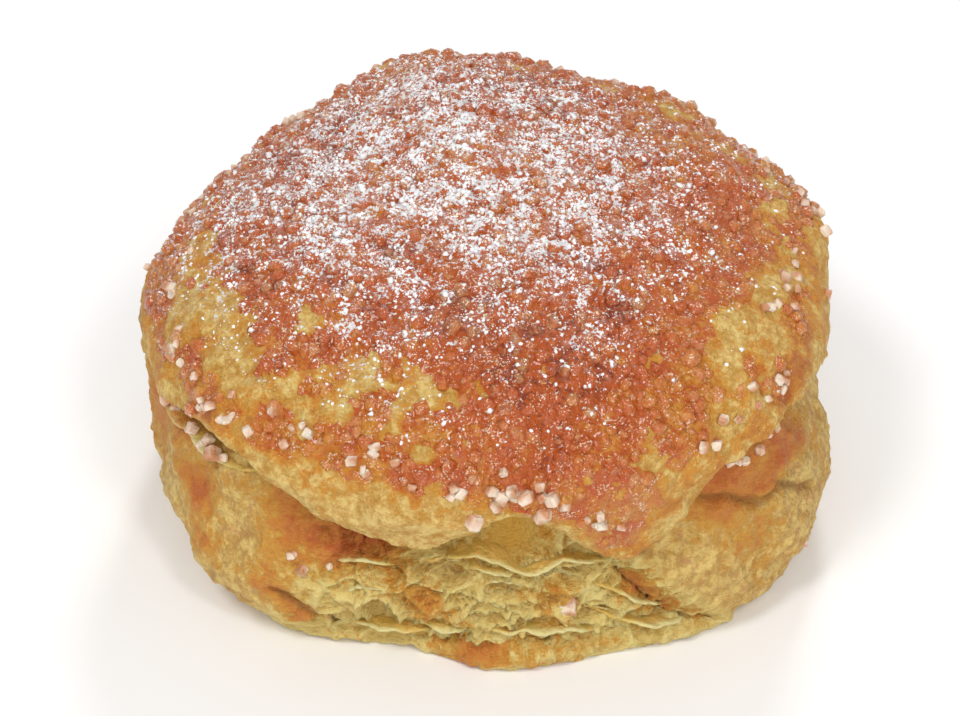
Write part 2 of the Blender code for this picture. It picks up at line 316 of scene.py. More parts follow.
class Finish:
    """A material: one method adds a node, and the rest are short names for its common uses."""

    def __init__(self, name, **skin):
        self.material = bpy.data.materials.new(name)
        self.material.use_nodes = True
        self.tree = self.material.node_tree
        self.skin = self.tree.nodes["Principled BSDF"]
        for socket, value in skin.items():
            self.skin.inputs[socket.replace("_", " ")].default_value = value

    def add(self, kind, settings, sockets, output=0):
        node = self.tree.nodes.new(kind)
        for setting, value in settings.items():
            setattr(node, setting, value)
        for socket, value in sockets.items():
            if isinstance(value, Wire):
                self.tree.links.new(value.socket, node.inputs[socket])
            else:
                node.inputs[socket].default_value = value
        return Wire(self, node.outputs[output])

    def feed(self, socket, wire):
        self.tree.links.new(wire.socket, self.skin.inputs[socket])

    def mark(self, name):
        return self.add("ShaderNodeAttribute", {"attribute_name": name}, {}, "Fac")

    def mottle(self, length, detail=3.0, roughness=0.55, shift=0.0, stretch=(1.0, 1.0, 1.0)):
        """Noise from about -1 to 1, with features of the given length in millimetres."""
        place = self.add("ShaderNodeTexCoord", {}, {}, "Object")
        moved = self.add(
            "ShaderNodeMapping", {}, {"Vector": place, "Location": (shift, shift, shift), "Scale": stretch}
        )
        sockets = {"Vector": moved, "Scale": 1 / (length * MM), "Detail": detail, "Roughness": roughness}
        return 4 * self.add("ShaderNodeTexNoise", {}, sockets, "Fac") - 2

    def step(self, wire, low, high):
        sockets = {"Value": wire, "From Min": low, "From Max": high}
        return self.add("ShaderNodeMapRange", {"interpolation_type": "SMOOTHSTEP"}, sockets)

    def mix(self, share, first, second):
        """first where share is 0, second where it is 1; both are colours."""
        sockets = {0: share, 6: first, 7: second}
        return self.add("ShaderNodeMix", {"data_type": "RGBA"}, sockets, 2)

    def tint(self, base, shade, value, low, high, most=1.0):
        """base, with up to that share of shade where a value rises from low to high."""
        share = self.step(value, low, high)
        return self.mix(share if most == 1.0 else most * share, base, shade)

    def bump(self, height, depth):
        """Relief of the given depth in millimetres."""
        self.feed("Normal", self.add("ShaderNodeBump", {}, {"Height": height, "Distance": depth * MM}))


def colour(red, green, blue):
    """A colour from its 0 to 255 values as a screen shows them."""
    shown = (value / 255 for value in (red, green, blue))
    return (*(s / 12.92 if s <= 0.04045 else ((s + 0.055) / 1.055) ** 2.4 for s in shown), 1.0)


CREAM = colour(206, 150, 58)
CREAM_PALE = colour(230, 186, 98)
FLOUR = colour(244, 212, 130)
GOLD = colour(208, 152, 58)
ORANGE = colour(204, 130, 50)
AMBER = colour(194, 104, 42)
HONEY = colour(222, 150, 46)
CARAMEL = colour(212, 122, 34)
RUST = colour(202, 92, 26)
ICING = colour(250, 246, 246)
MAROON = colour(146, 58, 28)
# Colour of the painted glints, and of the real pale grains among them.
GLINT = colour(255, 230, 198)

CRUST_END = 0.69  # share of the outline
CRUST_SWELLS = ((20, 26, -0.09), (76, 34, 0.05))
CRUST_FRINGE = 0.05
CRUST_WAVES = ((0.8, 5.0, 3.1), (0.5, 2.2, 8.4))  # (height, length, shift)
PATCH_WAVES = ((0.55, 3.0, 5.7), (0.25, 1.3, 2.2))
BARE_PATCHES = (  # (azimuth, share of the outline, radius, strength)
    (-76, 0.785, 5.0, 1.1),
    (-66, 0.745, 5.0, 1.1),
    (-60, 0.780, 4.4, 1.0),
    (-50, 0.755, 5.0, 1.1),
    (-42, 0.735, 4.0, 0.9),
    (-38, 0.815, 3.0, 0.8),
    (-30, 0.790, 3.0, 0.6),
    (-22, 0.800, 3.6, 0.9),
    (-12, 0.795, 3.4, 0.8),
    (-6, 0.780, 2.4, 0.7),
    (-30, 0.735, 3.2, 0.8),
    (-20, 0.738, 3.0, 0.7),
    (-10, 0.728, 2.6, 0.6),
    (-35, 0.765, 2.8, 0.7),
    (-25, 0.768, 2.4, 0.7),
    (-15, 0.765, 2.6, 0.7),
    (-3, 0.752, 2.0, 0.6),
    (2, 0.795, 2.4, 0.7),
    (13, 0.800, 2.2, 0.6),
    (20, 0.775, 1.8, 0.6),
    (46, 0.765, 3.6, 0.8),
    (53, 0.790, 3.4, 0.8),
    (16, 0.700, 1.8, 0.5),
    (22, 0.668, 2.0, 0.7),
    (26, 0.702, 2.6, 0.9),
    (29, 0.730, 2.0, 0.7),
    (31, 0.660, 2.8, 0.9),
    (33, 0.790, 2.2, 0.6),
    (37, 0.655, 3.4, 0.9),
    (41, 0.718, 2.6, 0.9),
    (46, 0.700, 4.4, 1.0),
    (57, 0.745, 5.2, 1.1),
    (66, 0.775, 4.0, 0.9),
    (76, 0.755, 5.0, 1.1),
    (88, 0.780, 4.0, 0.8),
    (100, 0.770, 4.0, 0.9),
    (112, 0.800, 4.4, 0.8),
    (132, 0.800, 4.6, 0.9),
    (150, 0.830, 4.2, 0.8),
    (170, 0.845, 3.8, 0.8),
    (-158, 0.800, 4.6, 0.8),
    (-140, 0.760, 4.0, 0.7),
    (-120, 0.750, 4.6, 0.8),
    (-100, 0.760, 4.0, 0.7),
)
RED_SPOTS = (  # sugar that browned further, as above
    (4, 0.760, 11.0, 0.4),
    (14, 0.745, 9.0, 0.35),
    (26, 0.755, 8.0, 0.25),
    (-44, 0.790, 8.0, 0.45),
    (-66, 0.820, 8.0, 0.4),
    (6, 0.830, 9.0, 0.6),
    (-20, 0.870, 8.0, 0.5),
    (38, 0.860, 10.0, 0.5),
    (80, 0.850, 10.0, 0.5),
    (-110, 0.840, 12.0, 0.5),
    (160, 0.880, 14.0, 0.5),
)
STAINS = (  # syrup that soaked into the bare pastry, as above
    (28, 0.600, 4.0, 0.6),
    (38, 0.625, 4.0, 0.9),
    (48, 0.660, 4.0, 0.8),
    (56, 0.690, 4.0, 0.9),
    (64, 0.715, 4.0, 0.8),
    (72, 0.690, 5.0, 0.6),
    (84, 0.720, 4.0, 0.8),
    (98, 0.700, 6.0, 0.7),
    (118, 0.720, 6.0, 0.7),
    (140, 0.700, 6.0, 0.6),
    (165, 0.715, 6.0, 0.7),
    (-170, 0.700, 6.0, 0.6),
    (-148, 0.715, 6.0, 0.7),
    (-126, 0.700, 6.0, 0.6),
    (-104, 0.715, 6.0, 0.7),
    (-84, 0.710, 4.0, 0.9),
    (-76, 0.680, 3.0, 0.7),
    (-66, 0.700, 2.6, 0.7),
    (-54, 0.725, 3.0, 0.6),
    (-47, 0.675, 2.4, 0.8),
    (-36, 0.700, 2.6, 0.5),
    (-22, 0.690, 2.4, 0.4),
)
STAIN_WAVES = ((0.6, 4.0, 8.1), (0.4, 1.8, 3.6))
ICING_MIDDLE = -5.0  # across
ICING_EDGE = 55.0  # distance from the middle at which the last icing lies
ICING_FULL = 19.0
ICING_MOST = 0.7
ICING_WAVES = ((9, 11.0, 2.6), (6, 4.0, 5.1))
BROWNING = 0.24
BROWNING_WAVES = ((0.75, 3.4, 1.5),)
BROWNING_AND_SHADE_UNDER_ICING = 0.8  # how much redder the sugar is painted where the icing lies, on top of the dome: partly sugar that baked darker, partly painted shade among the specks


def spots(points, places):
    """Soft round spots on the pie's skin, added up at each point."""
    total = np.zeros(len(points))
    centres = surface(np.array([p[0] for p in places], float), np.array([p[1] for p in places], float))
    for centre, (_, _, radius, strength) in zip(centres, places):
        away = np.linalg.norm(points - centre, axis=1) / radius
        total += strength * np.exp(-(away**2))
    return total


def sugar_cover(points, azimuth, share, reach=1.0):
    """How fully the sugar crust covers each point, from 0 on bare pastry to 1 over its edge's reach."""
    inside = (share - swollen(CRUST_END, CRUST_SWELLS, azimuth)) / CRUST_FRINGE
    inside = rough(points, CRUST_WAVES, inside)
    bare = rough(points, PATCH_WAVES, spots(points, BARE_PATCHES))
    return ease(inside, -0.3 * reach, 0.3) * (1 - ease(bare, 0.45, 0.45 + 0.3 * reach))


def icing_fall(points):
    """How thickly icing sugar fell on each point, from 0 to 1."""
    away = np.hypot(points[:, 0] - ICING_MIDDLE, 1.05 * points[:, 1])
    return ICING_MOST * ease(rough(points * (1, 1, 0), ICING_WAVES, away), ICING_EDGE, ICING_FULL)


def browning_and_shade(points, fallen):
    """How red the sugar is at each point, 0 golden to 1 deep red; redder under the icing, partly as painted
    shade.
    """
    browned_and_shaded = rough(points, BROWNING_WAVES, BROWNING + spots(points, RED_SPOTS))
    return np.clip(browned_and_shaded + BROWNING_AND_SHADE_UNDER_ICING * fallen, 0, 1.5)


LUMPS_TRIED = 14000
LUMPS_MOST = 4400
LUMP_LARGEST = 2.7
LUMP_SMALLEST = 0.9
LUMP_SPACING = 0.78  # least distance between two lumps, in their mean size
SYRUP_RISE = 0.17  # how far the syrup climbs round a lump, as a share of its size
SYRUP_REACH = 0.6
LUMPS_BELOW = 0.06  # how far under the waist they go, as a share of the outline
LUMP_SEED = 11

draw = random.Random(LUMP_SEED)
azimuth = np.array([draw.uniform(-180, 180) for _ in range(LUMPS_TRIED)])
lean = [math.asin(math.sqrt(draw.random())) for _ in range(LUMPS_TRIED)]
share = 1 - (1 - WAIST) * np.degrees(lean) / 90
share = share - LUMPS_BELOW * ease(share, WAIST + 0.05, WAIST)
tried = surface(azimuth, share)
tried = tried[sugar_cover(tried, azimuth, share) > [draw.uniform(0.2, 0.8) for _ in range(LUMPS_TRIED)]]
order = np.arange(len(tried)) / len(tried)
size = LUMP_LARGEST + (LUMP_SMALLEST - LUMP_LARGEST) * order**0.5
kept = []
for index, point in enumerate(tried):
    gaps = np.linalg.norm(tried[kept] - point, axis=1) - LUMP_SPACING * (size[kept] + size[index]) / 2
    if not len(gaps) or gaps.min() > 0:
        kept.append(index)
lump_spots, lump_sizes = tried[kept[:LUMPS_MOST]], size[kept[:LUMPS_MOST]]
lump_places = KDTree(len(lump_spots))
for index, point in enumerate(lump_spots.tolist()):
    lump_places.insert(point, index)
lump_places.balance()


def syrup_rise(point):
    """How high the melted sugar climbs round the lumps next to a point, in millimetres."""
    beside = ((away, lump_sizes[index]) for _, index, away in lump_places.find_n(point, 3))
    return max(SYRUP_RISE * size * math.exp(-((away / (SYRUP_REACH * size)) ** 2)) for away, size in beside)


SHELL_CELLS = 296
OVER_SHARE = 0.84  # of the grid, which makes the dome; the rest rolls under the lip
UNDER_SHARE = 0.16
SHELL_WAVES = ((0.35, 5.0, 4.4), (0.22, 2.4, 7.7))
SYRUP_SUNK = 0.5
PEBBLE_RISE = 0.22
SYRUP_WAVE = 0.12
BARE_WAVE = 0.16
BARE_FLAKE = 0.3

shape = bmesh.new()
bmesh.ops.create_grid(shape, x_segments=SHELL_CELLS, y_segments=SHELL_CELLS, size=1)
flat = corners(shape)
wide = np.abs(flat[:, 0]) >= np.abs(flat[:, 1])
major = np.where(wide, flat[:, 0], flat[:, 1])
minor = np.where(wide, flat[:, 1], flat[:, 0])
lean = 45 * minor / np.where(np.abs(major) > 1e-9, major, 1)
shell_azimuth = (np.where(wide, lean, 90 - lean) + np.where(major < 0, 180, 0) + 180) % 360 - 180
out = np.abs(major)
over = np.clip(out / OVER_SHARE, 0, 1)
under = np.clip((out - OVER_SHARE) / UNDER_SHARE, 0, 1)
shell_share = 1 - (1 - WAIST) * over * (0.75 + 0.25 * over) - (WAIST - CREASE + 0.01) * under
points = surface(shell_azimuth, shell_share)
move(shape, points)
cover = sugar_cover(points, shell_azimuth, shell_share)
fallen = icing_fall(points)
redness = browning_and_shade(points, fallen)
relief = rough(points, SHELL_WAVES)
climbed = np.array([syrup_rise(point) for point in points.tolist()])
climbed = climbed - SYRUP_SUNK + PEBBLE_RISE * pebbles(points, 1.1, 3.0)
relief += cover * (climbed + SYRUP_WAVE * field(points, 0.9, 6.0))
relief += (1 - cover) * (BARE_WAVE * field(points, 1.3, 9.2) + BARE_FLAKE * flakes(points, 5.0, 6.1))
relief *= ease(shell_share, CREASE, LIP_EDGE)
outward = directions(shape)
move(shape, points + outward * relief[:, None])
soaked = spots(points, STAINS) + 0.9 * sugar_cover(points, shell_azimuth, shell_share, 4.0) - 0.2
soaked += rough(points, STAIN_WAVES)
dusted = fallen * ease(outward[:, 2], 0.1, 0.7)
mark(shape, sugared=cover, redness=redness, stain=soaked, icing=dusted)


def dusting(finish):
    """The share of icing sugar on each spot: a thin veil, with specks where it fell more thickly."""
    fallen = finish.mark("icing")
    veil = 0.18 * finish.step(1.4 * fallen + finish.mottle(1.4, detail=4.0, shift=0.5), 0.6, 1.6)
    clumps = 1.3 * fallen + 0.7 * finish.mottle(2.2, shift=0.2) + finish.mottle(0.5, detail=3.0, shift=0.8)
    specks = finish.step(clumps, 1.0, 1.25) * finish.step(fallen, 0.0, 0.15)
    return finish.add("ShaderNodeMath", {"operation": "MAXIMUM"}, {0: veil, 1: specks})


def pale_grains_and_painted_glints(finish):
    """The share of tiny pale grains and painted glints on each spot of the crust: highlights painted into
    the colour.
    """
    fine = finish.mottle(0.3, detail=1.0, shift=0.9) + 0.7 * finish.mottle(1.7, detail=3.0, shift=0.4)
    return finish.step(fine, 0.56, 0.9)


crust = Finish("sugared_pastry", Subsurface_Weight=0.1, Subsurface_Scale=0.001, Coat_Roughness=0.08)
crust.skin.inputs["Subsurface Radius"].default_value = (1.0, 0.5, 0.2)
cover = crust.mark("sugared") + 0.35 * crust.mottle(1.1, detail=5.0, roughness=0.65)
sugared = crust.step(cover, 0.45, 0.8)
bare = crust.tint(CREAM, FLOUR, crust.mottle(1.6, detail=6.0, roughness=0.7), -0.5, 0.6)
bare = crust.tint(bare, GOLD, crust.mottle(1.2, detail=6.0, roughness=0.7, shift=0.3), 0.1, 0.8, 0.8)
bare = crust.tint(bare, ORANGE, crust.mottle(2.0, detail=6.0, roughness=0.7, shift=0.6), 0.3, 0.9, 0.7)
bare = crust.tint(bare, GOLD, cover, 0.05, 0.45, 0.85)
soaked = crust.mark("stain") + 0.7 * crust.mottle(1.3, detail=6.0, roughness=0.65, shift=0.2)
bare = crust.tint(bare, HONEY, soaked, 0.3, 0.8)
bare = crust.tint(bare, ORANGE, soaked, 0.6, 1.3)
bare = crust.tint(bare, AMBER, soaked, 1.1, 1.7, 0.8)
# Pale flour specks on the bare pastry, partly painted glints.
bare = crust.mix(0.5 * pale_grains_and_painted_glints(crust), bare, FLOUR)
# The deeper red under the icing is partly painted shade among the specks.
burnt_and_shaded = crust.mark("redness") + 0.7 * crust.mottle(0.9, detail=5.0, roughness=0.65, shift=0.7)
thin = crust.mottle(1.5, detail=4.0, shift=0.1) + 0.7 * crust.mottle(6.0, shift=0.5)
syrup = crust.tint(CARAMEL, HONEY, thin, -0.5, 0.7)
syrup = crust.tint(syrup, RUST, burnt_and_shaded, 0.1, 0.85)
syrup = crust.tint(syrup, MAROON, burnt_and_shaded, 1.0, 1.7)
# Painted glints on the syrup, with real pale sugar grains among them.
syrup = crust.mix(0.75 * pale_grains_and_painted_glints(crust), syrup, GLINT)
powder = dusting(crust)
crust.feed("Base Color", crust.mix(powder, crust.mix(sugared, bare, syrup), ICING))
crust.feed("Roughness", 0.6 - 0.4 * sugared + 0.5 * powder)
crust.feed("Coat Weight", 0.4 * sugared - 0.4 * powder)
crust.bump(crust.mottle(0.5, detail=4.0, roughness=0.6), 0.26)

rim = [edge for edge in shape.edges if edge.is_boundary]
bmesh.ops.holes_fill(shape, edges=rim, sides=0)
shell_tree = BVHTree.FromBMesh(shape)
shell = new_piece("upper_shell", shape, crust)
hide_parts("pastry")


# The lower half: soft pastry that bulges out under the lip and stands flat on its underside. Its front
# gapes and shows the spongy inside, as thin walls round stretched bubbles. The lip sits on it all round.

AROUND = 720
UPWARD = 130
FLOOR_ROWS = 10
FRONT_FINENESS = 0.35  # how much closer the corners lie at the front than on average
TOP_SHARE = 0.53
TOP_TUCK = (-0.08, 2.0)  # how the topmost row goes in, as a share of its radius, and up
DOUGH_WAVES = ((0.45, 6.5, 2.0), (0.35, 2.6, 5.0), (0.22, 1.1, 0.0))  # (height, length, shift)
FLAKE_RISE = 0.32
LAYER_RISE = 0.3
WRINKLE_RISE = 0.35
CRUMB_WAVE = 0.25
CRUMB_SWELL = 0.4
BUBBLES = (  # (height, length, shift, width of a wall)
    (1.0, 5.5, 1.0, 0.14),
    (0.7, 2.4, 4.0, 0.2),
    (0.5, 1.3, 2.0, 0.3),
)
WALL_DEPTH = 0.8
GAPING_DEPTH = 1.0
GAPING_RISE = 1.1
CRUMB_RADIUS = 44.0
CRUMB_SPREAD = 9.0  # degrees further to the left near the floor
CRUMB_FADE = 8.0
CRUMB_TOP = 27.0
RIM_REACH = 1.12  # of a pocket's size
RIM_WIDTH = 0.15
RIM_RISE = 0.9
CREASES = (  # (line of (azimuth, height), width, depth)
    (((36, 25.0), (41, 23.0), (48, 20.0), (55, 19.6), (62, 16.5)), 0.8, 1.3),
    (((-35, 10.6), (-31, 7.4), (-28, 5.5)), 0.9, 1.5),
    (((26, 14.4), (32, 8.4), (37, 3.8)), 1.0, 1.4),
    (((-122, 14.0), (-108, 17.0), (-96, 15.0)), 0.7, 0.9),
    (((118, 12.0), (136, 15.5), (152, 12.5)), 0.7, 0.9),
    (((-176, 18.0), (-160, 15.0), (-142, 17.0)), 0.7, 0.9),
    (((66, 9.0), (80, 13.0), (98, 11.0)), 0.6, 0.7),
)
POCKETS = (  # (azimuth, height, half width, half height, depth): bubbles that stand open at the front
    (-19.0, 9.0, 3.0, 2.6, 2.2),
    (-17.5, 14.7, 3.4, 1.5, 1.8),
    (-26.0, 4.6, 2.2, 1.6, 1.2),
    (-7.0, 15.6, 4.2, 1.9, 1.6),
    (5.0, 13.4, 3.6, 1.4, 1.4),
    (15.5, 14.6, 4.0, 1.7, 1.6),
    (1.0, 9.4, 3.4, 1.2, 1.4),
    (9.5, 8.6, 3.0, 1.5, 1.4),
    (20.0, 8.4, 4.2, 1.5, 1.6),
    (-4.0, 6.2, 3.0, 1.2, 1.2),
    (25.5, 4.4, 3.0, 1.3, 1.2),
    (12.0, 4.2, 3.2, 1.2, 1.0),
)
# Spots where the pastry baked darker, and painted shade: those high in the crease under the lip and those
# at the foot of the front stand partly for the shade there.
TOASTED_AND_SHADED = (  # (azimuth, share of the outline, radius, strength)
    (-74, 0.450, 6.0, 0.9),
    (-84, 0.400, 5.0, 0.5),
    (-62, 0.490, 5.0, 1.3),
    (-76, 0.500, 4.0, 1.2),
    (-54, 0.440, 3.6, 0.9),
    (-50, 0.390, 4.0, 0.6),
    (-34, 0.460, 5.0, 1.2),
    (-26, 0.455, 4.4, 1.3),
    (-20, 0.470, 3.4, 1.0),
    (-36, 0.370, 3.4, 0.9),
    (-32, 0.320, 2.4, 0.9),
    (29, 0.380, 3.0, 1.0),
    (34, 0.330, 3.0, 1.1),
    (40, 0.290, 2.4, 0.8),
    (44, 0.480, 6.0, 1.2),
    (54, 0.490, 6.0, 1.2),
    (62, 0.470, 4.0, 0.7),
    (70, 0.440, 4.0, 0.4),
    (48, 0.380, 4.0, 0.45),
    (-7, 0.264, 2.2, 0.5),
    (-2, 0.262, 2.2, 0.9),
    (3, 0.266, 2.6, 0.8),
    (9, 0.268, 2.8, 0.9),
    (16, 0.266, 2.6, 0.5),
    (7, 0.470, 6.0, 0.55),
    (-10, 0.360, 3.6, 0.6),
    (13, 0.370, 3.0, 0.5),
    (92, 0.490, 8.0, 0.7),
    (84, 0.300, 7.0, 0.35),
    (116, 0.480, 9.0, 0.8),
    (122, 0.340, 9.0, 0.4),
    (140, 0.500, 8.0, 0.8),
    (158, 0.470, 9.0, 0.6),
    (166, 0.330, 9.0, 0.45),
    (180, 0.490, 9.0, 0.8),
    (-160, 0.480, 9.0, 0.7),
    (-150, 0.320, 9.0, 0.4),
    (-138, 0.500, 8.0, 0.8),
    (-118, 0.470, 9.0, 0.7),
    (-108, 0.320, 9.0, 0.4),
    (-98, 0.490, 8.0, 0.8),
)


def crumb(azimuth, height):
    """How far the spongy inside shows at a point of the lower half: more widely near the floor."""
    left = MOUTH_LEFT - CRUMB_SPREAD * ease(height, 9, 3)
    right = MOUTH_RIGHT_FOOT + (MOUTH_RIGHT_TOP - MOUTH_RIGHT_FOOT) * height / MOUTH_CROWN
    below = ease(height, CRUMB_TOP, CRUMB_TOP - 3)
    return ease(azimuth, left, left + CRUMB_FADE) * ease(right - azimuth, -1, 2) * below


def webs(points, length, shift, width):
    """Thin walls between rounded cells: 1 on a wall, and 0 in a cell."""
    near = [noise.voronoi(point)[0] for point in (points / length + shift).tolist()]
    return np.exp(-((np.array([second - first for first, second, *_ in near]) / width) ** 2))


def off_line(points, azimuth, line):
    """Distance over the skin, in millimetres, from a wavy line of (azimuth, height) places."""
    points = points + 1.6 * field(points, 6.0, 4.1)[:, None] + 0.5 * field(points, 2.0, 7.3)[:, None]
    radius = np.hypot(points[:, 0], points[:, 1])
    nearest = np.full(len(points), 1e3)
    for (first, low), (second, high) in zip(line, line[1:]):
        across = np.radians((azimuth - first + 180) % 360 - 180) * radius
        along = math.radians(second - first) * radius
        rise = points[:, 2] - low
        share = np.clip((across * along + rise * (high - low)) / (along**2 + (high - low) ** 2), 0, 1)
        nearest = np.minimum(nearest, np.hypot(across - share * along, rise - share * (high - low)))
    return nearest


shape = bmesh.new()
bmesh.ops.create_grid(shape, x_segments=AROUND, y_segments=UPWARD, size=0.5)
flat = corners(shape) * 2
azimuth = 180 * (flat[:, 0] - FRONT_FINENESS * np.sin(np.pi * flat[:, 0]) / np.pi)
row = (flat[:, 1] + 1) / 2 * UPWARD
floor_share = FOOT_TURN * row / FLOOR_ROWS
wall_share = FOOT_TURN + (TOP_SHARE - FOOT_TURN) * (row - FLOOR_ROWS) / (UPWARD - FLOOR_ROWS)
share = np.where(row < FLOOR_ROWS, floor_share, wall_share)
points = surface(azimuth, share)
tucked = np.stack((TOP_TUCK[0] * points[:, 0], TOP_TUCK[0] * points[:, 1], TOP_TUCK[1] + 0 * share), -1)
points += tucked * (row > UPWARD - 0.5)[:, None]
move(shape, points)
mark(shape, share=share)
bmesh.ops.remove_doubles(shape, verts=shape.verts, dist=1e-4)
rim = [edge for edge in shape.edges if edge.is_boundary]
bmesh.ops.holes_fill(shape, edges=rim, sides=0)
points = corners(shape)
azimuth = np.degrees(np.arctan2(points[:, 0], -points[:, 1]))
share_kept = shape.verts.layers.float["share"]
share = np.array([vertex[share_kept] for vertex in shape.verts])
inside = crumb(azimuth, points[:, 2])
relief = rough(points, DOUGH_WAVES)
layers = field(points * (0.35, 0.35, 1), 1.8, 4.9) + 0.6 * np.abs(field(points * (0.5, 0.5, 1), 1.1, 9.1))
relief = (1 - inside) * (relief + FLAKE_RISE * flakes(points, 6.0, 3.7) + LAYER_RISE * layers)
wrinkles = field(points * (1, 1, 0.3), 1.7, 3.0) * swell(azimuth, 54, 26)
relief += (1 - inside) * WRINKLE_RISE * wrinkles
bent = np.stack([field(points, 3.0, shift) for shift in (1.0, 7.0, 13.0)], -1)
stretched = points * (1, 1, 1.8) + 0.8 * bent
walls = 0 * inside
for rise, length, shift, width in BUBBLES:
    walls = np.maximum(walls, rise * webs(stretched, length, shift, width))
gaping = mouth(azimuth, points[:, 2])
pocket = swell(azimuth, 6, 8) * ease(points[:, 2], 17.5, 19.5)
walls *= 1 - pocket
relief += GAPING_RISE * gaping * (1 - 0.6 * pocket)
torn = (WALL_DEPTH + GAPING_DEPTH * gaping) * walls + CRUMB_WAVE * field(stretched, 1.6, 6.0)
relief += inside * (torn + CRUMB_SWELL * field(points, 3.0, 6.6))
hollow_and_shade, rims = 0 * relief, 0 * relief
for centre, height, half_width, half_height, depth in POCKETS:
    across = np.radians(azimuth - centre) * CRUMB_RADIUS / half_width
    away = np.hypot(across, (points[:, 2] - height) / half_height)
    hollow_and_shade = np.maximum(hollow_and_shade, depth * (1 - ease(away, 0.55, 1.0)))
    rims = np.maximum(rims, np.exp(-(((away - RIM_REACH) / RIM_WIDTH) ** 2)))
relief += inside * (RIM_RISE * rims - hollow_and_shade)
crack = 0 * relief
for line, width, depth in CREASES:
    crack = np.maximum(crack, depth * np.exp(-((off_line(points, azimuth, line) / width) ** 2)))
relief -= crack
relief *= ease(points[:, 2], 0, 0.8) * (1 - ease(share, 0.515, 0.528)) * (share > FOOT_TURN)
# Painted shade under the lip and at the foot, mixed in with the baked colour.
toast_and_shade = spots(points, TOASTED_AND_SHADED) * (1 + 0.7 * field(points * (0.7, 0.7, 1.3), 3.5, 5.5))
toast_and_shade += 0.35 * field(points * (0.6, 0.6, 1.2), 5.0, 8.8) + 0.12 * field(points, 1.6, 3.3)
toast_and_shade -= 0.6 * pocket
outward = directions(shape)
move(shape, points + outward * relief[:, None])
mark(shape, toast_and_shade=toast_and_shade, crumb=inside, wall=np.maximum(walls, rims))
mark(shape, shadow=np.clip(crack, 0, 2), hollow_and_shade=hollow_and_shade, pocket=pocket)

dough = Finish("baked_pastry", Subsurface_Weight=0.15, Subsurface_Scale=0.0015, Roughness=0.62)
dough.skin.inputs["Subsurface Radius"].default_value = (1.0, 0.6, 0.25)
TAN = colour(192, 148, 74)
YELLOW = colour(214, 184, 94)
BLUSH = colour(196, 134, 86)
PALE_SKIN = colour(232, 200, 118)
EGG_WASH = colour(226, 176, 72)
CRUMB = colour(208, 168, 80)
# Painted shade for the deep of the open bubbles.
CRUMB_PAINTED_SHADE = colour(198, 144, 70)
CRUMB_WALL = colour(232, 210, 132)
# Painted shade for the creases.
PAINTED_CREASE_SHADE = colour(140, 84, 34)
pale = dough.tint(TAN, PALE_SKIN, dough.mottle(1.8, detail=6.0, roughness=0.7), -0.5, 0.5)
pale = dough.tint(pale, GOLD, dough.mottle(1.0, detail=4.0, shift=0.4), 0.2, 1.2, 0.5)
pale = dough.tint(pale, BLUSH, dough.mottle(2.2, detail=6.0, roughness=0.7, shift=0.9), 0.1, 0.7, 0.7)
# Painted shade deep in the open bubbles.
open_crumb = dough.tint(CRUMB, CRUMB_PAINTED_SHADE, dough.mark("hollow_and_shade"), 0.2, 1.4, 0.7)
open_crumb = dough.mix(dough.mark("wall"), open_crumb, CRUMB_WALL)
open_crumb = dough.mix(0.8 * dough.mark("pocket"), open_crumb, EGG_WASH)
pale = dough.mix(dough.mark("crumb"), pale, open_crumb)
# Darker where the pastry baked further, and painted shade under the lip and at the foot.
browned_and_shaded = dough.mark("toast_and_shade") + 0.6 * dough.mottle(1.5, detail=6.0, roughness=0.7)
skin = dough.tint(pale, GOLD, browned_and_shaded, 0.1, 0.5)
skin = dough.tint(skin, ORANGE, browned_and_shaded, 0.45, 0.9)
skin = dough.tint(skin, AMBER, browned_and_shaded, 0.95, 1.5)
# Painted shade in the creases, darker where they cut deeper.
skin = dough.tint(skin, PAINTED_CREASE_SHADE, dough.mark("shadow"), 0.3, 1.4, 0.6)
dough.feed("Base Color", skin)
dough.bump(dough.mottle(0.8, detail=4.0, roughness=0.6, stretch=(1.0, 1.0, 1.6)), 0.26)
lower_tree = BVHTree.FromBMesh(shape)
lower = new_piece("lower_half", shape, dough)
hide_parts("pastry")


# The leaves: thin sheets of pastry that split apart as it rose, and show their wavy edges in the gap.
# The larger ones are those of the solid, two of them in the crease, and thinner ones lie between them.

LEAVES = (  # (reach, ((azimuth, height), ...))
    (44.6, ((-16, 16.0), (-8, 18.2), (-1, 20.4), (8, 17.4), (14, 18.3), (21, 16.4), (27, 13.0), (35, 6.5))),
    (41.8, ((-13, 14.6), (-2, 17.0), (7, 15.4), (15, 15.4), (23, 12.0))),
    (43.0, ((-15, 12.4), (-3, 13.9), (3, 14.8), (12, 13.0), (20, 10.6), (30, 6.0))),
    (43.6, ((-13, 10.8), (-2, 11.4), (8, 10.2), (18, 8.6), (27, 4.6))),
    (44.6, ((-12, 8.6), (-4, 8.0), (5, 6.6), (12, 6.9), (18, 5.8), (25, 3.8), (33, 1.6))),
    (44.6, ((-35, 6.6), (-27, 10.6), (-20, 13.2), (-13, 13.2), (-8, 11.6))),
    (43.4, ((-35, 2.6), (-27, 4.2), (-19, 5.4), (-12, 5.6), (-6, 4.4))),
    (44.0, ((-34, 13.2), (-26, 16.0), (-17, 17.2), (-10, 15.6))),
    (45.8, ((17, 14.6), (25, 11.2), (33, 6.4), (41, 2.2))),
    (46.8, ((20, 8.4), (28, 6.0), (36, 3.6), (45, 1.8))),
    (47.4, ((-90, 26.8), (-78, 25.8), (-66, 26.4), (-55, 26.0), (-45, 25.6), (-36, 26.4))),
    (46.6, ((146, 26.8), (160, 25.8), (173, 26.6), (186, 25.6), (200, 26.8))),
)
LEAF_ROOT = 36.0
LEAF_TIP = 0.06
LEAF_WAVE = 0.8
LEAF_WAVE_LENGTH = 5.0
LEAF_WAVE_SHIFT = 9.7
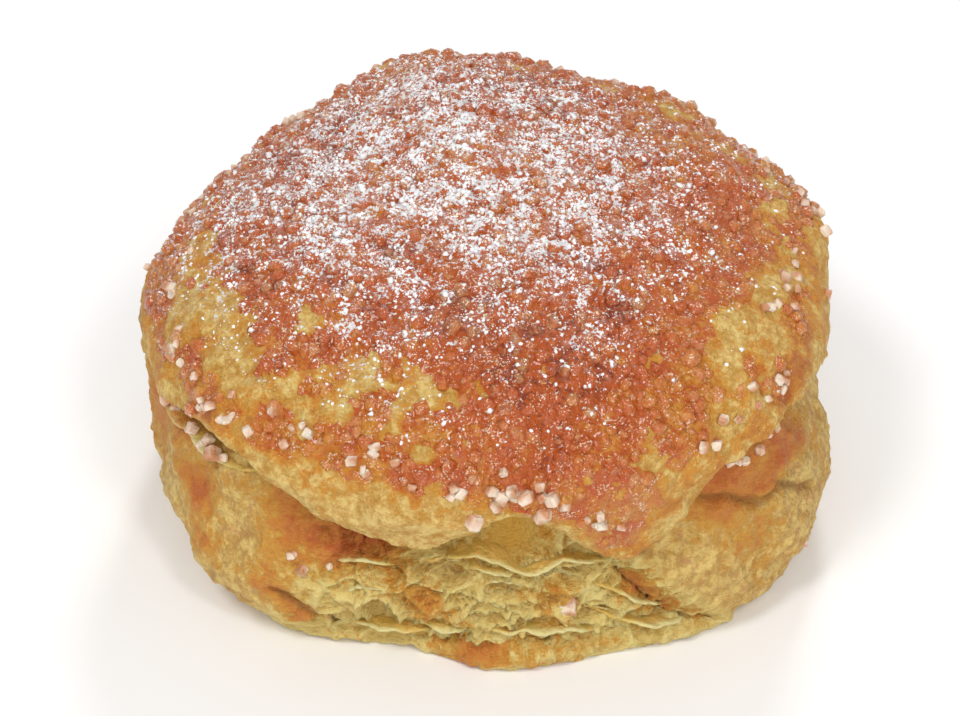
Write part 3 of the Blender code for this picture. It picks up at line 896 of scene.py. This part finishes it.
LEAF_CELLS = 110
LEAF_ROWS = 16
LEAF_THICKNESS = 0.4
LEAF_RADIUS = 44.0  # where the waves of their edges are laid out
LEAF_RAGGED = ((0.5, 2.4), (0.3, 1.0))  # (height, length)
LEAF_RIPPLE = ((0.45, 2.6), (0.2, 1.1))
LEAF_LOWEST = 1.2
THIN_LEAVES = 14
THIN_CELLS = 70
THIN_ROWS = 12
THIN_THICKNESS = 0.25
THIN_LOWEST = 1.8
THIN_SPAN = 15.2  # between the heights of the lowest and the highest
LEAF_SEED = 3

noise.seed_set(LEAF_SEED)  # without it, noise_vector differs from run to run
draw = random.Random(LEAF_SEED)
thin = []
for number in range(THIN_LEAVES):
    height = THIN_LOWEST + THIN_SPAN * (number + draw.uniform(0.1, 0.9)) / THIN_LEAVES
    right = 40 - 1.1 * height
    start = draw.uniform(-14, right - 14)
    end = min(start + draw.uniform(9, 18), right)
    bend = draw.uniform(-1.4, 1.8)
    tilt = draw.uniform(-1.4, 1.0)
    edge = ((start, height), ((2 * start + end) / 3, height + bend), ((start + 2 * end) / 3, height + tilt))
    thin.append((draw.uniform(41.6, 44.0), (*edge, (end, height + 1.6 * tilt))))

shape = bmesh.new()
for number, (reach, edge) in enumerate((*LEAVES, *thin)):
    whole = number < len(LEAVES)
    sheet = bmesh.new()
    cells, rows = (LEAF_CELLS, LEAF_ROWS) if whole else (THIN_CELLS, THIN_ROWS)
    bmesh.ops.create_grid(sheet, x_segments=cells, y_segments=rows, size=0.5)
    flat = corners(sheet) + 0.5
    places = np.linspace(0, 1, len(edge))
    azimuth = np.interp(flat[:, 0], places, [place[0] for place in edge])
    height = np.interp(flat[:, 0], places, [place[1] for place in edge])
    taper = np.sqrt(np.sin(np.pi * (LEAF_TIP + (1 - 2 * LEAF_TIP) * flat[:, 0])))
    rim_points = ring(azimuth, LEAF_RADIUS)
    ragged = rough(rim_points, [(wave, length, number) for wave, length in LEAF_RAGGED])
    radius = LEAF_ROOT + (reach + ragged - LEAF_ROOT) * flat[:, 1] * taper
    points = ring(azimuth, radius)
    points[:, 2] = height
    lift = Vector((0, 0, LEAF_WAVE_SHIFT * number))
    waves = [noise.noise_vector(Vector(point) / LEAF_WAVE_LENGTH + lift) for point in points.tolist()]
    points += np.array(waves) * LEAF_WAVE * flat[:, 1:2]
    points[:, 2] += rough(points, [(wave, length, number) for wave, length in LEAF_RIPPLE]) * flat[:, 1]
    points[:, 2] = np.maximum(points[:, 2], LEAF_LOWEST)
    move(sheet, points)
    bmesh.ops.recalc_face_normals(sheet, faces=sheet.faces)
    bmesh.ops.solidify(sheet, geom=sheet.faces, thickness=LEAF_THICKNESS if whole else THIN_THICKNESS)
    points = corners(sheet)
    mark(sheet, edge=np.interp(np.hypot(*points[:, :2].T), (LEAF_ROOT + 3, reach), (0, 1)))
    mark(sheet, toast_and_shade=spots(points, TOASTED_AND_SHADED))
    scrap = bpy.data.meshes.new("sheet")
    sheet.to_mesh(scrap)
    sheet.free()
    shape.from_mesh(scrap)
    bpy.data.meshes.remove(scrap)

flake = Finish("pastry_leaf", Subsurface_Weight=0.25, Subsurface_Scale=0.002, Roughness=0.5)
flake.skin.inputs["Subsurface Radius"].default_value = (1.0, 0.7, 0.3)
LEAF_EDGE = colour(230, 214, 148)
leafy = flake.tint(YELLOW, CREAM_PALE, flake.mottle(2.0, detail=5.0), -0.4, 0.4)
leafy = flake.tint(leafy, GOLD, flake.mottle(3.0, detail=5.0, shift=0.4), 0.2, 0.8, 0.7)
leafy = flake.tint(leafy, ORANGE, flake.mottle(3.5, detail=5.0, shift=0.9), 0.5, 1.0, 0.6)
leafy = flake.tint(leafy, LEAF_EDGE, flake.mark("edge"), 0.8, 1.0)
# Darker where the pastry baked further, with painted shade from the same spots.
browned_and_shaded = flake.mark("toast_and_shade") + 0.5 * flake.mottle(1.4, detail=5.0, shift=0.5)
flake.feed("Base Color", flake.tint(leafy, ORANGE, browned_and_shaded, 0.5, 1.2, 0.85))
flake.bump(flake.mottle(0.6, detail=4.0, roughness=0.6), 0.16)
new_piece("leaves", shape, flake)


# The sugar crust: coarse sugar that melted and browned in the oven into glossy amber lumps, each still
# about the shape of its crystal. Bevelled cubes, each turned its own way, and mostly sunk in the syrup
# that the upper shell carries as relief.

LUMP_SUNK = (0.95, 0.68)  # share of its size that lies in the syrup: of most lumps, and of the proudest
LUMP_BEVEL = 0.2  # share of a lump's size
CRYSTAL_SIDE = 0.9  # share of a crystal's size
CHIP_LENGTH = 0.8
CHIP_DEPTH = 0.26


def scattered(shape, places, turns, sizes):
    """Copies of a small shape, one at each place, turned and stretched as given."""
    one = bpy.data.meshes.new("one")
    shape.to_mesh(one)
    shape.clear()
    shape.from_mesh(one)
    bpy.data.meshes.remove(one)
    each = len(shape.verts)
    while len(shape.verts) < each * len(places):
        bmesh.ops.duplicate(shape, geom=[*shape.verts, *shape.edges, *shape.faces])
    shape.verts.ensure_lookup_table()
    bmesh.ops.delete(shape, geom=shape.verts[each * len(places) :], context="VERTS")
    local = corners(shape).reshape(len(places), each, 3) * sizes[:, None]
    moved = np.einsum("nij,nkj->nki", turns, local) + places[:, None]
    move(shape, moved.reshape(-1, 3))


def crystals(places, outward, sizes, sunk, bevel):
    """Bevelled cubes on a skin, each chipped and turned its own way and sunk by a share of its size."""
    shape = bmesh.new()
    bmesh.ops.create_cube(shape, size=CRYSTAL_SIDE)
    edges = shape.edges
    bmesh.ops.bevel(shape, geom=edges, offset=bevel, segments=1, profile=0.5, affect="EDGES", material=-1)
    turns = [Quaternion([draw.gauss(0, 1) for _ in range(4)]).normalized().to_matrix() for _ in sizes]
    stretches = np.array([[draw.uniform(0.8, 1.2) for _ in range(3)] for _ in sizes])
    centres = places + outward * (sizes * (0.5 - sunk))[:, None]
    scattered(shape, centres, np.array(turns), stretches * sizes[:, None])
    chipped = corners(shape)
    chips = [noise.noise_vector(point) for point in (chipped / CHIP_LENGTH).tolist()]
    move(shape, chipped + CHIP_DEPTH * np.array(chips))
    return shape


def onto(tree, points):
    """The nearest places on a skin, and its outward directions there."""
    found = [tree.find_nearest(Vector(point)) for point in points.tolist()]
    return np.array([place[0] for place in found]), np.array([place[1] for place in found])


lying, outward = onto(shell_tree, lump_spots)
proud = np.array([draw.random() ** 2 for _ in lump_sizes])
lump_sunk = LUMP_SUNK[0] + (LUMP_SUNK[1] - LUMP_SUNK[0]) * proud
shape = crystals(lying, outward, lump_sizes, lump_sunk, LUMP_BEVEL)
points = corners(shape)
fallen = icing_fall(points)
upward = directions(shape)[:, 2]
tone = np.repeat([draw.uniform(-1, 1) for _ in lump_sizes], len(points) // len(lump_sizes))
mark(shape, redness=browning_and_shade(points, fallen), icing=fallen * ease(upward, 0.1, 0.7), tone=tone)

caramel = Finish(
    "browned_sugar",
    Subsurface_Weight=0.2,
    Subsurface_Scale=0.0008,
    Transmission_Weight=0.15,
    Coat_Roughness=0.05,
    IOR=1.5,
)
caramel.skin.inputs["Subsurface Radius"].default_value = (1.0, 0.45, 0.2)
# The deeper red under the icing is partly painted shade among the specks.
burnt_and_shaded = caramel.mark("redness") + 0.35 * caramel.mark("tone")
burnt_and_shaded = burnt_and_shaded + 0.6 * caramel.mottle(0.9, detail=5.0, roughness=0.65, shift=0.7)
melted = caramel.tint(HONEY, CARAMEL, burnt_and_shaded, -0.3, 0.3)
melted = caramel.tint(melted, RUST, burnt_and_shaded, 0.1, 0.95)
melted = caramel.tint(melted, MAROON, burnt_and_shaded, 1.1, 1.8)
clearer = caramel.mark("tone") + 0.5 * caramel.mottle(1.2, detail=3.0, shift=0.3)
PEACH = colour(238, 176, 104)
melted = caramel.tint(melted, PEACH, clearer, 0.3, 1.1, 0.45)
# Painted glints on the lumps, with real pale sugar grains among them.
melted = caramel.mix(0.9 * pale_grains_and_painted_glints(caramel), melted, GLINT)
powder = dusting(caramel)
caramel.feed("Base Color", caramel.mix(powder, melted, ICING))
caramel.feed("Roughness", 0.12 + 0.7 * powder)
caramel.feed("Coat Weight", 0.5 - 0.5 * powder)
caramel.bump(caramel.mottle(0.5, detail=3.0), 0.18)
lumps_tree = BVHTree.FromBMesh(shape)
crust_lumps = new_piece("sugar_crust", shape, caramel)
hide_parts("pastry")


# Clear sugar: crystals that did not melt, whitish and pink, along the lower edge of the crust, in small
# heaps on the left and one by one on the lower half. Bevelled cubes, sunk a little, some on a leaf.

CLEAR_HEAPS = (  # (azimuth, share of the outline, spread in degrees, spread in share, number, largest)
    (-4, 0.700, 5.0, 0.020, 6, 1.7),
    (3, 0.682, 4.0, 0.020, 8, 2.2),
    (10, 0.662, 4.0, 0.018, 6, 1.9),
    (19, 0.640, 5.0, 0.030, 6, 1.6),
    (-16, 0.720, 6.0, 0.020, 6, 1.6),
    (-30, 0.730, 7.0, 0.020, 7, 1.5),
    (-45, 0.700, 6.0, 0.015, 10, 1.6),
    (-60, 0.725, 6.0, 0.020, 8, 1.5),
    (-76, 0.760, 5.0, 0.020, 6, 1.5),
    (48, 0.700, 8.0, 0.020, 12, 1.5),
    (70, 0.760, 10.0, 0.020, 12, 1.5),
    (110, 0.720, 20.0, 0.040, 24, 1.6),
    (160, 0.740, 20.0, 0.040, 24, 1.6),
    (-150, 0.740, 20.0, 0.040, 24, 1.6),
    (-110, 0.720, 18.0, 0.040, 22, 1.6),
    (-52, 0.505, 7.0, 0.010, 14, 1.7),
    (-66, 0.500, 4.0, 0.010, 6, 1.5),
    (-33, 0.400, 5.0, 0.020, 4, 1.5),
    (62, 0.350, 4.0, 0.030, 2, 1.6),
    (50, 0.500, 6.0, 0.010, 6, 1.3),
    (-96, 0.480, 8.0, 0.030, 6, 1.6),
    (130, 0.420, 20.0, 0.060, 8, 1.6),
    (-140, 0.420, 20.0, 0.060, 8, 1.6),
)
CLEAR_SUNK = 0.4
CLEAR_BEVEL = 0.16
LEDGE_GRAINS = (  # (azimuth, radius, height, size) of those that lie on a leaf
    (15.7, 43.6, 9.6, 2.4),
    (-48, 46.2, 26.4, 1.3),
    (-50, 46.8, 26.5, 2.0),
    (-52, 46.2, 27.4, 1.6),
    (-53, 47.0, 26.3, 1.4),
    (-57, 46.4, 26.9, 1.9),
    (-64, 46.2, 27.0, 1.4),
    (-66, 46.8, 27.0, 1.9),
)

azimuth, share, size = [], [], []
for middle, level, spread, rise, number, largest in CLEAR_HEAPS:
    azimuth += [middle + draw.gauss(0, 0.6) * spread for _ in range(number)]
    share += [level + draw.gauss(0, 0.6) * rise for _ in range(number)]
    size += [largest * draw.uniform(0.6, 1.0) for _ in range(number)]
azimuth, share, size = np.array(azimuth), np.array(share), np.array(size)
high = share > LIP_UNDER
points = surface(azimuth, share)
outward = 0 * points
points[high], outward[high] = onto(shell_tree, points[high])
points[~high], outward[~high] = onto(lower_tree, points[~high])
azimuth, radius, height, ledge_size = np.array(LEDGE_GRAINS, float).T
ledge = ring(azimuth, radius)
ledge[:, 2] = height
points = np.vstack((points, ledge))
outward = np.vstack((outward, np.tile((0, 0, 1), (len(ledge), 1))))
size = np.append(size, ledge_size)
shape = crystals(points, outward, size, CLEAR_SUNK, CLEAR_BEVEL)
mark(shape, tone=field(corners(shape), 1.6, 2.0))

ROSE = colour(208, 148, 106)
GLASS = colour(248, 226, 204)
clear = Finish(
    "clear_sugar",
    Subsurface_Weight=0.3,
    Subsurface_Scale=0.001,
    Transmission_Weight=0.15,
    Roughness=0.2,
    IOR=1.5,
)
clear.feed("Base Color", clear.tint(ROSE, GLASS, clear.mark("tone"), -0.35, 0.35))
clear.bump(clear.mottle(0.5), 0.06)
new_piece("clear_sugar", shape, clear, smooth=False)


# Icing sugar: a light dusting that fell on the middle of the dome, in flecks and small clumps. Flat
# five-sided flecks at their true size lie on the lumps, over a thinner film that the finishes carry.

FLECKS = 18000  # at least, because all of a fall are kept
FLECKS_TRIED = 20000  # in one fall
FALL_MIDDLE = -3.0
FALL_SPREAD = 25.0
FALL_REACH = 45.0
FALL_HEIGHT = 70.0
FLECK_WAVES = ((1.2, 2.4, 4.0), (0.8, 6.0, 7.0))
FLECK_LARGEST = 0.95
FLECK_SMALLEST = 0.16
FLECK_FLATNESS = 0.5

lying, upright, size = [], [], []
while len(size) < FLECKS:
    fallen = [[draw.gauss(FALL_MIDDLE, FALL_SPREAD) for _ in range(2)] + [0.0] for _ in range(FLECKS_TRIED)]
    fallen = np.array(fallen)
    chance = rough(fallen, FLECK_WAVES, 0.35) * (0.08 + 0.92 * icing_fall(fallen))
    for (across, along, _), likely in zip(fallen.tolist(), chance.tolist()):
        if draw.random() > likely or math.hypot(across, along) > FALL_REACH:
            continue
        above = Vector((across, along, FALL_HEIGHT))
        falls = [tree.ray_cast(above, Vector((0, 0, -1))) for tree in (shell_tree, lumps_tree)]
        hits = [fall[:2] for fall in falls if fall[0]]
        spot, outward = max(hits, key=lambda hit: hit[0].z, default=(None, Vector()))
        if outward.z > 0.2:
            lying.append(spot)
            turn = Quaternion((0, 0, 1), draw.uniform(0, 6))
            upright.append((outward.to_track_quat("Z", "Y") @ turn).to_matrix())
            size.append(FLECK_SMALLEST + (FLECK_LARGEST - FLECK_SMALLEST) * draw.random() ** 4)
size = np.array(size)
flatness = np.array([(draw.uniform(0.7, 1.4), 1.0, FLECK_FLATNESS) for _ in size])
shape = bmesh.new()
bmesh.ops.create_cone(shape, cap_ends=True, segments=5, radius1=0.6, radius2=0.0, depth=1.0)
scattered(shape, np.array(lying), np.array(upright), flatness * size[:, None])

sugar_dust = Finish("icing_sugar", Roughness=0.9, Subsurface_Weight=0.2, Subsurface_Scale=0.0005)
sugar_dust.skin.inputs["Base Color"].default_value = ICING
new_piece("icing_sugar", shape, sugar_dust)


# Studio: a pale floor, round lights from the upper left and upper right for the glints on the sugar, one
# from behind, a large one that fills the front, and a camera that looks down on the gaping side.

CAMERA_RISE = 37.0  # degrees above the floor
CAMERA_AWAY = 450.0
CAMERA_AIM = 20.0  # height it looks at
LENS = 118.1
FLOOR_SIZE = 3.0  # half its side, in metres
FLOOR_WHITE = (0.97, 0.97, 0.97, 1.0)
SKY_WHITE = (1.0, 1.0, 1.0, 1.0)
SKY_STRENGTH = 0.48

floor_mesh = bpy.data.meshes.new("floor")
shape = bmesh.new()
bmesh.ops.create_grid(shape, x_segments=1, y_segments=1, size=FLOOR_SIZE)
shape.to_mesh(floor_mesh)
shape.free()
floor = bpy.data.objects.new("floor", floor_mesh)
bpy.context.scene.collection.objects.link(floor)
pale_floor = Finish("pale_floor", Roughness=0.8)
pale_floor.skin.inputs["Base Color"].default_value = FLOOR_WHITE
floor_mesh.materials.append(pale_floor.material)

aim = Vector(AXIS) * MM + Vector((0, 0, CAMERA_AIM * MM))


def aimed(made, azimuth, rise, away):
    """Put a camera or a light at an azimuth, a rise and a distance in metres, turned to the pie."""
    flat_turn, up_turn = math.radians(azimuth), math.radians(rise)
    level = Vector((math.sin(flat_turn), -math.cos(flat_turn), 0))
    step_out = level * math.cos(up_turn) + Vector((0, 0, math.sin(up_turn)))
    made.location = aim + step_out * away
    made.rotation_euler = (-step_out).to_track_quat("-Z", "Y").to_euler()
    bpy.context.scene.collection.objects.link(made)


camera_data = bpy.data.cameras.new("camera")
camera_data.lens = LENS
camera_data.clip_start = 0.01
camera = bpy.data.objects.new("camera", camera_data)
aimed(camera, 0, CAMERA_RISE, CAMERA_AWAY * MM)
bpy.context.scene.camera = camera

for name, azimuth, rise, away, size, power in (  # away and size in metres, power in watts
    ("window", -40, 58, 0.9, 0.22, 2.2),
    ("glint", 26, 50, 0.9, 0.16, 1.4),
    ("back", 168, 46, 0.9, 0.2, 2.2),
    ("fill", 5, 22, 1.0, 0.9, 3.4),
):
    light = bpy.data.lights.new(name, "AREA")
    light.shape = "DISK"
    light.size = size
    light.energy = power
    aimed(bpy.data.objects.new(name, light), azimuth, rise, away)

world = bpy.data.worlds.new("studio")
bpy.context.scene.world = world
world.use_nodes = True
world.node_tree.nodes["Background"].inputs["Color"].default_value = SKY_WHITE
world.node_tree.nodes["Background"].inputs["Strength"].default_value = SKY_STRENGTH
bpy.context.scene.view_settings.view_transform = "Standard"
